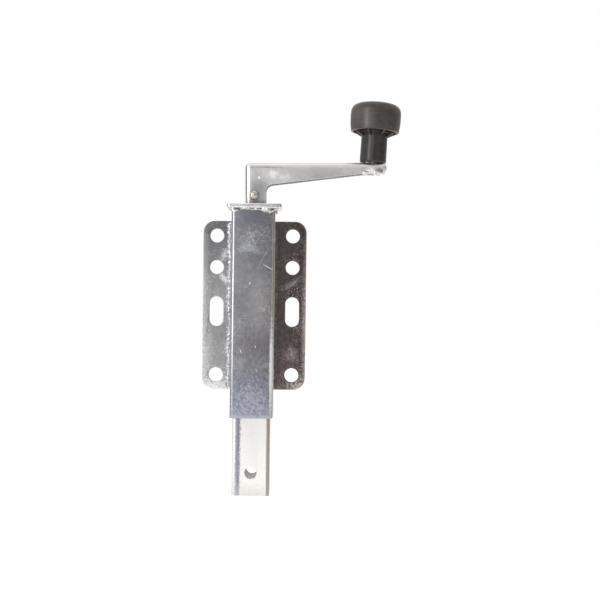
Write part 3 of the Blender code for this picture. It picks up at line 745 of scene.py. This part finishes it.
def scratches(tree, turn, fineness, length, cut, shift):
    """Thin straight marks: noise drawn out along one direction, kept only where it peaks."""
    stretched = place(tree, (fineness, fineness, length), turn, (shift, 0.0, shift))
    lines = grain(tree, stretched, 1.0, 2.0, 0.6)
    patches = grain(tree, place(tree, shift=(shift, shift, 0.0)), 55.0, 2.0)
    return times(tree, span(tree, lines, cut, cut + 0.06), span(tree, patches, 0.5, 0.62))


def patch(tree, centre, radii, turn, soft, ragged):
    """1 inside an ellipsoid, in mm and turned about Y, fading to 0 at its rim; ragged frays it."""
    source = node(tree, "TexCoord").outputs["Object"]
    inputs = {"Vector": source, "Location": [value * MM for value in centre],
              "Rotation": (0.0, radians(turn), 0.0), "Scale": [radius * MM for radius in radii]}
    local = node(tree, "Mapping", inputs, vector_type="TEXTURE").outputs["Vector"]
    distance = node(tree, "VectorMath", {0: local}, operation="LENGTH").outputs["Value"]
    if ragged:
        fray = grain(tree, source, 480.0, 4.0, 0.75)
        distance = combine(tree, "ADD", distance, span(tree, fray, 0.3, 0.7, -ragged, ragged))
    return span(tree, distance, 1.0, 1.0 - soft)


def lay_stains_and_painted_light(tree, colour, stains):
    """The colour with tints (tint, strength, then what patch takes) laid over it in order:
    stains, and painted shade, painted highlights and painted reflections.
    """
    for tint, strength, *where in stains:
        colour = blend_colour(tree, times(tree, patch(tree, *where), strength), colour, tint)
    return colour


def zinc(name, dark, light, rough, cloud, fleck, scratch, shift, stretch=1.0, pitting=0.0012 * MM):
    """Zinc-plated steel: soft clouds, flecks, scratches, pale rubbed marks and tinted stains.

    Some pale marks are painted highlights; some tints are painted shade, highlights and reflections.
    """
    waviness, mark_height, mark_rough = 0.012 * MM, 0.004 * MM, 0.32
    material, tree, shader = new_material(name, 1.0, rough[0])
    space = place(tree, (1.0, 1.0, stretch), shift=(shift, shift, shift))
    broad = grain(tree, space, cloud, 3.0, 0.5, 0.4)
    middle = grain(tree, space, cloud * 9, 4.0, 0.6)
    fine = grain(tree, space, 2600.0, 2.0, 0.6)
    cloudy = combine(tree, "ADD", times(tree, broad, 0.7), times(tree, middle, 0.3))
    colour = ramp(tree, span(tree, cloudy, 0.36, 0.64), dark, light)
    # tints: stains, and painted shade, painted highlights and painted reflections
    colour = lay_stains_and_painted_light(tree, colour, STAINS_AND_PAINTED_LIGHT.get(name, ()))
    region = span(tree, grain(tree, place(tree, shift=(shift, 1.0, 0.0)), 60.0, 2.0), 0.42, 0.62)
    specks = span(tree, grain(tree, space, 1150.0, 3.0, 0.7), 0.615, 0.66)
    wear_and_painted_highlights = times(tree, times(tree, specks, region), fleck)
    lines = combine(tree, "MAXIMUM", scratches(tree, (0.0, 0.5, 0.0), 1500.0, 45.0, 0.62, shift),
                    scratches(tree, (0.0, -0.9, 0.0), 1800.0, 60.0, 0.64, shift + 2.0))
    wear_and_painted_highlights = combine(tree, "MAXIMUM", wear_and_painted_highlights, times(tree, lines, scratch))
    # pale marks: worn places and scratches, and some painted highlights
    for strength, *where in MARKS_AND_PAINTED_HIGHLIGHTS.get(name, ()):
        wear_and_painted_highlights = combine(tree, "MAXIMUM", wear_and_painted_highlights, times(tree, patch(tree, *where), strength))
    tree.links.new(blend_colour(tree, wear_and_painted_highlights, colour, PALE), shader.inputs["Base Color"])
    gloss = combine(tree, "ADD", span(tree, middle, 0.35, 0.65, *rough), times(tree, wear_and_painted_highlights, mark_rough))
    tree.links.new(gloss, shader.inputs["Roughness"])
    bump(tree, shader, (broad, waviness * 2), (middle, waviness * 0.25), (fine, pitting),
         (wear_and_painted_highlights, mark_height))
    return material


# Materials. Pale marks are (strength, centre, radii, turn, softness, raggedness) and tints have a colour in
# front, with lengths in mm and turns in degrees: they lie where the object shows them. The marks are wear
# and scratches with some painted highlights; tints are stains, painted shade, highlights and reflections.

# pale tone of worn marks and of painted highlights
PALE = (0.86, 0.855, 0.85)
FRONT = tube_low.y / MM             # Y of the tube's front face, in mm, and so on below
PLATE_FRONT = plate_low.y / MM
LEG_FRONT = leg_low.y / MM
CRANK_FRONT = arm_low.y / MM - 0.4  # a little before the crank's face
LONG = 400.0                        # longer than the whole piece

MARKS_AND_PAINTED_HIGHLIGHTS = {
    "zinc_tube": (
        (0.34, (9.0, FRONT, 43.0), (0.22, 3, 13.5), 28, 0.5, 0.0),
        (1.00, (14.0, FRONT, 35.2), (0.32, 3, 6.3), -59, 0.5, 0.0),
        (0.85, (-2.6, FRONT, 20.5), (0.5, 3, 1.8), 25, 0.6, 0.1),
        (0.85, (-10.0, FRONT, -42.0), (0.4, 3, 2.6), -24, 0.5, 0.0),
        (0.80, (3.3, FRONT, -37.5), (0.5, 3, 1.3), -15, 0.6, 0.1),
        (0.50, (4.6, FRONT, -59.0), (0.3, 3, 3.0), -35, 0.5, 0.0),
        (0.22, (-1.0, FRONT, 64.0), (17.0, 3, 10.0), 0, 0.9, 1.2),
        (0.16, (-9.5, FRONT, -54.0), (4.5, 3, 6.5), 0, 0.9, 0.6),
        (0.13, (0.0, FRONT, -86.0), (22.0, 3, 26.0), 0, 0.9, 1.5),
        # painted highlight: pale band down the tube's rounded right corner, wider low down
        (0.75, (18.0, FRONT, -56.0), (2.3, 5, 56.0), 0, 0.6, 0.22)),
    "zinc_plate": (
        (0.60, (-29.0, PLATE_FRONT, 48.0), (4.0, 3, 8.5), 25, 0.9, 0.8),
        (0.75, (-29.0, PLATE_FRONT, 25.5), (3.8, 3, 9.5), -42, 0.9, 0.7),
        (0.30, (36.0, PLATE_FRONT, 21.0), (3.8, 3, 12.0), 58, 0.9, 0.9),
        (0.22, (36.0, PLATE_FRONT, -46.0), (8.0, 3, 9.5), 0, 1.0, 0.7),
        (0.80, (-42.0, PLATE_FRONT, -86.0), (27.0, 3, 23.0), 0, 0.8, 0.5),
        # painted highlight: lighter strip along the plate's left edge
        (0.40, (-51.0, PLATE_FRONT, -45.0), (11.0, 3, 60.0), 0, 1.0, 0.7),
        # painted highlight: pale strip along the plate's right edge
        (0.26, (50.0, PLATE_FRONT, -10.0), (6.0, 3, 120.0), 0, 0.9, 0.3),
        (0.45, (46.0, PLATE_FRONT, -79.0), (17.0, 3, 11.0), 0, 0.9, 0.8)),
    "zinc_crank": (
        (0.60, (17.5, CRANK_FRONT, 121.5), (6.0, 3, 4.6), 0, 0.7, 0.6),
        (0.35, (26.5, CRANK_FRONT, 119.0), (5.5, 3, 3.2), 0, 0.9, 0.6),
        (1.00, (4.4, CRANK_FRONT, 118.0), (1.4, 3, 1.5), 0, 0.5, 0.2),
        (0.80, (107.0, CRANK_FRONT, 125.5), (6.0, 3, 4.0), -20, 0.8, 0.5))}

STAINS_AND_PAINTED_LIGHT = {
    "zinc_tube": (
        ((0.29, 0.30, 0.345), 0.80, (0.0, FRONT, 82.0), (30.0, 5, 40.0), 0, 1.0, 0.1),
        # painted reflection: lighter grey middle of the tube's front face
        ((0.66, 0.64, 0.63), 0.85, (7.0, FRONT, 3.0), (15.0, 5, 36.0), 0, 0.9, 0.1),
        ((0.34, 0.31, 0.32), 0.75, (0.0, FRONT, -38.0), (26.0, 5, 19.0), 0, 0.9, 0.2),
        ((0.27, 0.28, 0.365), 0.92, (0.0, FRONT, -89.0), (34.0, 8, 38.0), 0, 0.6, 0.25),
        ((0.64, 0.68, 0.73), 0.85, (-4.0, FRONT, 50.4), (11.5, 3, 8.8), 0, 0.5, 0.15),
        ((0.39, 0.39, 0.415), 0.90, (-4.0, FRONT, 44.6), (17.0, 3, 5.6), 0, 0.3, 0.05),
        ((0.56, 0.60, 0.64), 0.50, (-2.2, FRONT, 62.0), (4.2, 3, 8.0), 0, 0.8, 0.2),
        # painted reflection: thin yellowish line down the tube's right corner
        ((0.85, 0.80, 0.62), 0.85, (20.3, -42.0, 0.0), (0.9, 2.6, 300.0), 0, 0.4, 0.1),
        ((0.42, 0.42, 0.50), 0.50, (2.0, FRONT, -84.0), (24.0, 3, 16.0), 20, 0.9, 0.8)),
    "zinc_plate": (
        # painted shade: the plate's right half darkened
        ((0.20, 0.155, 0.145), 0.90, (40.0, PLATE_FRONT, 0.0), (30.0, 4, 200.0), 0, 0.35, 0.05),
        # painted highlight: reddish light line down the plate's rounded right edge
        ((0.70, 0.57, 0.54), 0.90, (49.8, PLATE_FRONT, -10.0), (5.6, 4, 110.0), 0, 0.8, 0.1),
        ((0.20, 0.20, 0.21), 0.92, (-38.0, PLATE_FRONT, 84.0), (42.0, 4, 72.0), 0, 0.8, 0.1)),
    "zinc_cap": (
        # painted shade: the right end of the top plate's front darkened
        ((0.30, 0.30, 0.30), 0.80, (22.0, -46.0, 94.0), (9.0, 6, 6.0), 0, 0.8, 0.5),),
    "zinc_crank": (
        # painted shade: the crank's hub darkened
        ((0.33, 0.335, 0.36), 0.90, (3.5, CRANK_FRONT, 105.5), (12.5, 2, 16.5), 0, 0.6, 0.1),
        # painted highlight: light band over the arm's top bend, lit from above
        ((0.72, 0.705, 0.69), 0.95, (50.0, -30.0, 131.6), (90.0, 9, 4.9), 0, 0.25, 0.05),
        # painted highlight: white band down the left bend of the crank's upright part
        ((0.86, 0.86, 0.85), 0.95, (-8.4, -30.0, 110.0), (4.9, 9, 60.0), 0, 0.30, 0.1),
        # painted shade: dark line at the far left of that bend
        ((0.14, 0.14, 0.14), 0.90, (-8.9, -30.0, 112.0), (2.4, 9, 38.0), 0, 0.4, 0.2),
        # painted shade: dark line just under the top bend
        ((0.24, 0.24, 0.25), 0.70, (11.0, CRANK_FRONT, 127.9), (22.0, 3, 1.2), 0, 0.9, 0.4),
        ((0.46, 0.46, 0.465), 0.85, (60.0, CRANK_FRONT, 120.0), (30.0, 2, 11.0), 0, 0.9, 0.1),
        # painted shade: dark patch near the arm's rounded end
        ((0.22, 0.21, 0.21), 0.80, (115.0, CRANK_FRONT, 125.0), (5.0, 2, 5.0), 0, 0.7, 0.4),
        # painted highlight: light line along the arm's lower edge
        ((0.88, 0.87, 0.86), 0.90, (58.0, CRANK_FRONT, 116.0), (46.0, 2, 1.5), -5.7, 0.6, 0.2),
        # painted shade: the hub's lower part darkened, just above the top plate
        ((0.12, 0.12, 0.12), 0.90, (2.0, CRANK_FRONT, 94.0), (16.0, 3, 7.5), 0, 0.9, 0.2),
        # painted shade: dark ring round the rivet
        ((0.16, 0.15, 0.14), 0.85, (0.0, CRANK_FRONT, 102.0), (5.3, 3, 5.3), 0, 0.25, 0.05)),
    "zinc_leg": (
        # painted highlight: white band down the leg's rounded left corner
        ((0.90, 0.90, 0.90), 0.80, (-16.0, LEG_FRONT, -138.0), (1.4, 3, LONG), 0, 0.5, 0.1),
        ((0.24, 0.26, 0.32), 0.85, (-12.2, LEG_FRONT, -138.0), (3.1, 3, LONG), 0, 0.5, 0.4),
        ((0.13, 0.14, 0.18), 0.65, (-11.4, LEG_FRONT, -138.0), (2.0, 3, LONG), 0, 0.8, 1.2),
        # painted reflection: brown band down the leg's rounded right corner
        ((0.33, 0.28, 0.24), 0.88, (15.8, LEG_FRONT, -138.0), (2.3, 6, LONG), 0, 0.5, 0.1),
        ((0.48, 0.45, 0.43), 0.70, (0.0, LEG_FRONT, -176.0), (40.0, 3, 18.0), 0, 1.0, 0.2),
        # painted shade: the inside of the leg's through hole darkened
        ((0.15, 0.15, 0.145), 0.85, (0.0, -24.3, -153.0), (10.0, 14.6, 10.0), 0, 0.2, 0.0),
        # painted reflection: thin beige line at the outer edge of the leg's left corner
        ((0.36, 0.34, 0.29), 0.90, (-17.9, -40.0, -138.0), (1.0, 6, LONG), 0, 0.5, 0.1)),
    "cap_bead_metal": (
        # painted shade: dark patches in the voids between the bead's ridge and the top plate
        ((0.10, 0.10, 0.11), 0.90, (-14.5, -46.0, 88.2), (4.6, 6, 1.7), 0, 0.5, 0.3),
        ((0.16, 0.16, 0.17), 0.80, (-1.0, -46.0, 88.6), (3.6, 6, 1.2), 0, 0.5, 0.3),
        ((0.14, 0.14, 0.15), 0.80, (6.0, -46.0, 88.4), (3.2, 6, 1.2), 0, 0.5, 0.3),
        ((0.10, 0.10, 0.11), 0.90, (17.4, -46.0, 88.0), (2.8, 6, 1.8), 0, 0.5, 0.3)),
    "matt_plastic": (
        # painted light: the grip's left front lighter and warmer
        ((0.088, 0.071, 0.067), 0.75, (92.0, -42.0, 174.0), (17.0, 16, 22.0), 0, 1.0, 0.1),
        # painted light: small warm light patch on the grip's left
        ((0.115, 0.085, 0.078), 0.55, (93.0, -44.0, 177.0), (9.0, 12, 6.0), 0, 0.9, 0.4),
        # painted highlight: soft bright patch left of the grip's middle
        ((0.110, 0.095, 0.088), 0.60, (102.0, -46.0, 168.0), (6.0, 12, 6.0), 0, 1.0, 0.1))}

# Dark and light tone, roughness, clouds to a metre, flecks, scratches, shift, stretch and pitting. No
# name here or in plastic() is the name of one of the CAD's own plain materials.
METALS = {
    "zinc_tube": ((0.38, 0.385, 0.40), (0.47, 0.47, 0.48), (0.12, 0.18), 26.0, 0.9, 0.15, 0.3),
    "zinc_plate": ((0.42, 0.415, 0.41), (0.50, 0.495, 0.49), (0.12, 0.19), 30.0, 0.8, 0.25, 1.7),
    "zinc_cap": ((0.68, 0.68, 0.69), (0.90, 0.90, 0.90), (0.18, 0.30), 110.0, 0.5, 0.3, 2.9),
    "zinc_crank": ((0.58, 0.58, 0.585), (0.66, 0.66, 0.66), (0.34, 0.40), 30.0, 0.25, 0.1, 4.1, 1.0,
                   0.0004 * MM),
    "zinc_leg": ((0.68, 0.67, 0.65), (0.74, 0.73, 0.71), (0.26, 0.34), 60.0, 0.25, 0.15, 5.3, 0.5),
    "cap_bead_metal": ((0.40, 0.40, 0.41), (0.88, 0.87, 0.86), (0.12, 0.26), 260.0, 0.2, 0.0, 6.8),
    "bright_bead": ((0.30, 0.32, 0.37), (0.86, 0.87, 0.89), (0.16, 0.30), 420.0, 0.5, 0.0, 6.2),
    # painted shade: dark copy of the weld metal for the right-hand bead
    "painted_shade_bead": ((0.07, 0.06, 0.065), (0.20, 0.17, 0.17), (0.25, 0.40), 420.0, 0.25, 0.0, 6.4),
    "stud_bead": ((0.50, 0.49, 0.49), (0.86, 0.85, 0.83), (0.14, 0.26), 150.0, 0.0, 0.0, 6.6),
    "rivet_metal": ((0.40, 0.38, 0.33), (0.58, 0.55, 0.49), (0.14, 0.22), 180.0, 0.2, 0.2, 7.7),
    "turned_steel": ((0.42, 0.41, 0.40), (0.58, 0.57, 0.55), (0.20, 0.32), 120.0, 0.2, 0.2, 8.8),
    "turned_bronze": ((0.42, 0.26, 0.12), (0.60, 0.40, 0.20), (0.28, 0.42), 150.0, 0.1, 0.1, 9.9)}


def metal(name):
    """A metal from the table, made when it is first asked for."""
    return bpy.data.materials.get(name) or zinc(name, *METALS[name])


def plastic(name, dark, light, rough, pore, dust, shift):
    """Moulded plastic: fine surface grain, a little dust, rubbed-in grey, and tints of painted light."""
    dust_tint, swell = (0.20, 0.185, 0.175), 0.05 * MM
    material, tree, shader = new_material(name, 0.0, rough[0])
    shader.inputs["IOR"].default_value = 1.5
    space = place(tree, shift=(shift, 0.0, shift))
    cloud = grain(tree, space, 75.0, 4.0, 0.6, 0.4)
    smear = grain(tree, place(tree, (1.0, 1.0, 2.4), (0.3, 0.2, 0.0), (shift, 2.0, 0.0)), 160.0, 4.0, 0.65)
    fine = grain(tree, space, 5200.0, 2.0, 0.5)
    colour = ramp(tree, span(tree, cloud, 0.35, 0.66), dark, light)
    colour = blend_colour(tree, times(tree, span(tree, smear, 0.48, 0.72), dust), colour, dust_tint)
    # the grip's tints are painted light and a painted highlight
    tree.links.new(lay_stains_and_painted_light(tree, colour, STAINS_AND_PAINTED_LIGHT.get(name, ())), shader.inputs["Base Color"])
    gloss = span(tree, combine(tree, "ADD", smear, times(tree, fine, 0.3)), 0.45, 0.95, *rough)
    tree.links.new(gloss, shader.inputs["Roughness"])
    bump(tree, shader, (cloud, swell), (fine, pore))
    return material


def gloss_plastic():
    return plastic("gloss_plastic", (0.016, 0.013, 0.014), (0.022, 0.019, 0.020), rough=(0.26, 0.36),
                   pore=0.004 * MM, dust=0.06, shift=0.4)


def matt_plastic():
    return plastic("matt_plastic", (0.031, 0.025, 0.024), (0.041, 0.034, 0.032), rough=(0.29, 0.36),
                   pore=0.012 * MM, dust=0.14, shift=1.4)


def dress_cad_nodes():
    """Give every CAD node that stays in view its own finish."""
    for name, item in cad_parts.items():
        if item.hide_render:
            continue
        material = metal("turned_bronze" if name == "spindle_bush" else "turned_steel")
        if not item.material_slots:
            item.data.materials.append(material)
        for slot in item.material_slots:
            slot.material = material


# Studio

# The room's brightness as (axis of the direction, from, to, tone): it turns to the tone along the axis.
ROOM_LEFT = (0.72, 0.72, 0.75)
ROOM = (("X", -0.85, -0.68, (1.60, 1.60, 1.60)),
        ("X", -0.17, -0.07, (0.50, 0.50, 0.53)),
        ("X", -0.040, -0.012, (0.10, 0.085, 0.085)),
        ("X", 0.06, 0.20, (0.62, 0.58, 0.53)),
        ("X", 0.70, 0.90, (0.36, 0.34, 0.32)),
        ("Y", 0.15, 0.50, (0.60, 0.58, 0.53)),
        ("Z", 0.20, 0.50, (0.86, 0.85, 0.83)))


def aim(item, location, target, axis):
    """Put an object in its place, with one of its axes towards a target."""
    item.location = location
    item.rotation_mode = "QUATERNION"
    item.rotation_quaternion = (Vector(target) - Vector(location)).to_track_quat(axis, "Y")


def stage_plane(name, size, location, facing, material):
    """A flat stage card that faces a point."""
    mesh = bpy.data.meshes.new(name)
    bm = bmesh.new()
    bmesh.ops.create_grid(bm, x_segments=1, y_segments=1, size=0.5)
    bmesh.ops.scale(bm, vec=(size[0], size[1], 1.0), verts=bm.verts)
    bm.to_mesh(mesh)
    bm.free()
    mesh.materials.append(material)
    card = new_object(name, mesh)
    aim(card, location, facing, "Z")


def make_floor():
    """Pale paper far below the object, seen as white."""
    material, tree, shader = new_material("floor_paper", 0.0, 0.9)
    tint = ramp(tree, grain(tree, place(tree), 6.0, 2.0), (0.60, 0.60, 0.60), (0.64, 0.64, 0.635))
    tree.links.new(tint, shader.inputs["Base Color"])
    shader.inputs["Specular IOR Level"].default_value = 0.1
    shader.inputs["Emission Color"].default_value = (1.0, 1.0, 1.0, 1.0)
    unseen_glow, seen_glow = 0.6, 0.8
    seen = node(tree, "LightPath").outputs["Is Camera Ray"]
    tree.links.new(span(tree, seen, 0.0, 1.0, unseen_glow, seen_glow), shader.inputs["Emission Strength"])
    width, near, far, level = 12.0, -5.5, 14.0, -0.8
    middle = (near + far) / 2
    stage_plane("floor", (width, far - near), (0.0, middle, level), (0.0, middle, 5.0), material)


def make_world():
    """White behind the object; its lights and reflections see a room, dark behind the camera."""
    world = bpy.data.worlds.new("studio")
    bpy.context.scene.world = world
    world.use_nodes = True
    tree = world.node_tree
    background = tree.nodes["Background"]
    direction = node(tree, "TexCoord").outputs["Generated"]
    axes = node(tree, "SeparateXYZ", {"Vector": direction}).outputs
    colour = ROOM_LEFT
    for axis, start, end, tone in ROOM:
        colour = blend_colour(tree, span(tree, axes[axis], start, end, smooth=True), colour, tone)
    path = node(tree, "LightPath").outputs["Is Camera Ray"]
    tree.links.new(blend_colour(tree, path, colour, (1.0, 1.0, 1.0)), background.inputs["Color"])
    background.inputs["Strength"].default_value = 1.0


def area_light(name, location, target, size, power, colour=(1.0, 1.0, 1.0)):
    """A rectangular soft box, not seen by the camera."""
    data = bpy.data.lights.new(name, "AREA")
    data.shape = "RECTANGLE"
    data.size, data.size_y = size
    data.energy = power
    data.color = colour
    light = new_object(name, data)
    aim(light, location, target, "-Z")
    light.visible_camera = False


def make_lights():
    middle = (0.0, -0.02, 0.0)
    area_light("left_softbox", (-1.3, -1.4, 0.5), middle, (0.25, 1.4), 8.0, (1.0, 0.98, 0.96))
    area_light("top_softbox", (0.0, -0.2, 1.7), middle, (1.4, 1.0), 2.6)
    area_light("back_softbox", (0.3, 1.7, 0.7), middle, (1.4, 1.2), 2.5)
    area_light("low_softbox", (-0.1, -1.85, -0.52), (0.0, 0.0, -0.14), (1.0, 0.40), 0.95, (1.0, 0.985, 0.965))


def make_camera():
    """The camera looks level along +Y, rolled a little, from the height of the plate's middle."""
    distance, lens, sensor, roll = 0.94, 61.9, 36.0, radians(0.7)
    data = bpy.data.cameras.new("camera")
    data.lens = lens
    data.sensor_width = sensor
    data.clip_start = 0.05
    data.clip_end = 50.0
    camera = new_object("camera", data)
    eye = Vector((43.4 * MM, tube_low.y - distance, 5.65 * MM))
    camera.matrix_world = (Matrix.Translation(eye) @ Matrix.Rotation(pi / 2, 4, "X")
                           @ Matrix.Rotation(roll, 4, "Z"))
    bpy.context.scene.camera = camera


def clear_defaults():
    for name in ("Cube", "Light", "Camera"):
        item = bpy.data.objects.get(name)
        if item is not None:
            bpy.data.objects.remove(item, do_unlink=True)


clear_defaults()
bpy.context.scene.view_settings.view_transform = "Standard"
make_camera()
make_world()
make_lights()
make_floor()
make_outer_tube()
make_leg()
make_mounting_plate()
make_top_plate()
make_side_weld("side_bead_left", -1, 6.4 * MM, metal("bright_bead"))
# the right-hand bead takes a dark copy of the weld metal: painted shade
make_side_weld("side_bead_right", 1, 2.5 * MM, metal("painted_shade_bead"))
make_cap_weld()
make_crank()
make_rivet()
make_stud()
make_knob_stem()
make_knob_cap()
make_spindle()
dress_cad_nodes()
